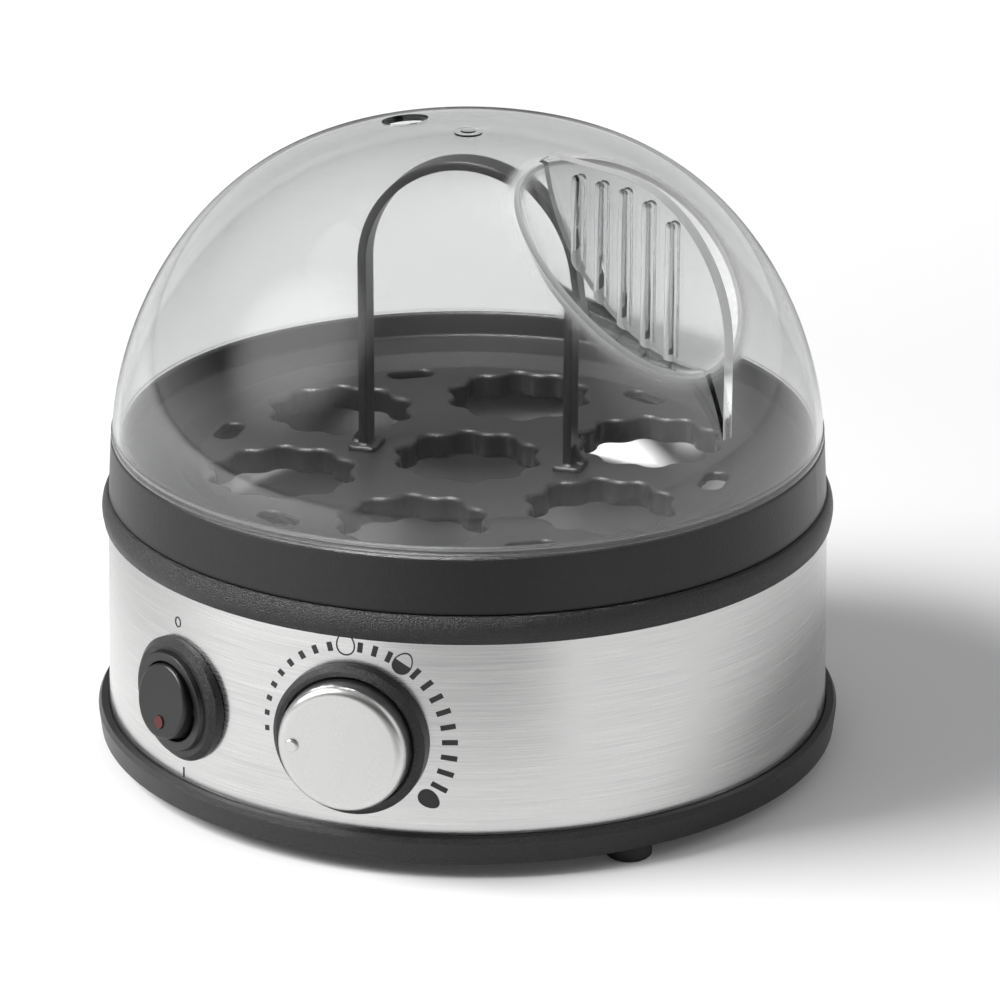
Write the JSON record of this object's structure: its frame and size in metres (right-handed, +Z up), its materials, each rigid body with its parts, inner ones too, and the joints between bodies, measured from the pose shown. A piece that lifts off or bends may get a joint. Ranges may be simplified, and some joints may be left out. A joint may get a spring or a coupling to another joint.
{
  "type": "electric egg cooker",
  "caption": "Round electric egg cooker with a steel-banded base, turning dial, rocker switch, lift-out egg tray with an arched handle, and a clear domed lid with a finger fin.",
  "frame": {"origin": "on the table, below the middle of the object's overall box", "axes": "+Z up, -Y towards the dial's front, +X to the right seen from the dial"},
  "size_m": [0.1824, 0.1883, 0.1546],
  "materials": {
    "base_plastic": "fine-textured black moulding",
    "tray_plastic": "satin dark grey moulding",
    "switch_plastic": "smooth black moulding",
    "foot_rubber": "matt black rubber",
    "seal_rubber": "grey silicone",
    "band_steel": "brushed round the band",
    "dish_steel": "polished pressed steel",
    "zinc_steel": "zinc plated",
    "spreader_aluminium": "as cast",
    "knob_aluminium": "satin anodised",
    "lamp_red": "clear red lens",
    "lid_clear": "clear moulded plastic"
  },
  "bodies": {
    "base": {"base_tray": "base_plastic", "rubber_feet": "foot_rubber", "cover_screws": "zinc_steel", "steel_band": "band_steel", "upper_collar": "base_plastic", "heating_dish": "dish_steel", "dish_seal": "seal_rubber", "heat_spreader": "spreader_aluminium", "heating_element": "zinc_steel", "thermostat": "base_plastic", "thermal_fuse": "zinc_steel", "clamp_stud": "zinc_steel", "clamp_bridge": "zinc_steel", "clamp_nut": "zinc_steel", "terminal_block": "base_plastic", "cord_gland": "base_plastic", "dial_surround": "base_plastic", "dial_regulator": "base_plastic", "regulator_nut": "zinc_steel", "switch_bezel": "base_plastic", "switch_body": "switch_plastic"},
    "dial": {"dial_knob": "knob_aluminium", "regulator_shaft": "zinc_steel"},
    "rocker": {"switch_rocker": "switch_plastic", "indicator_lens": "lamp_red"},
    "tray": {"egg_tray": "tray_plastic", "tray_handle": "tray_plastic"},
    "lid": {"lid": "lid_clear"}
  },
  "joints": [
    {"name": "tray_lift", "type": "slide", "parent": "base", "child": "tray", "axis": [0, 0, 1], "range_m": [0, 0.1]},
    {"name": "lid_lift", "type": "slide", "parent": "tray", "child": "lid", "axis": [0, 0, 1], "range_m": [0, 0.12]},
    {"name": "dial_turn", "type": "hinge", "parent": "base", "child": "dial", "pos_m": [-0.00215, -0.08485, 0.0333], "axis": [-0.0244, -0.9997, 0], "range_deg": [-220, 0]},
    {"name": "switch_rock", "type": "hinge", "parent": "base", "child": "rocker", "pos_m": [-0.0503, -0.07173, 0.0315], "axis": [0.83, -0.5577, 0], "range_deg": [0, 22]}
  ]
}
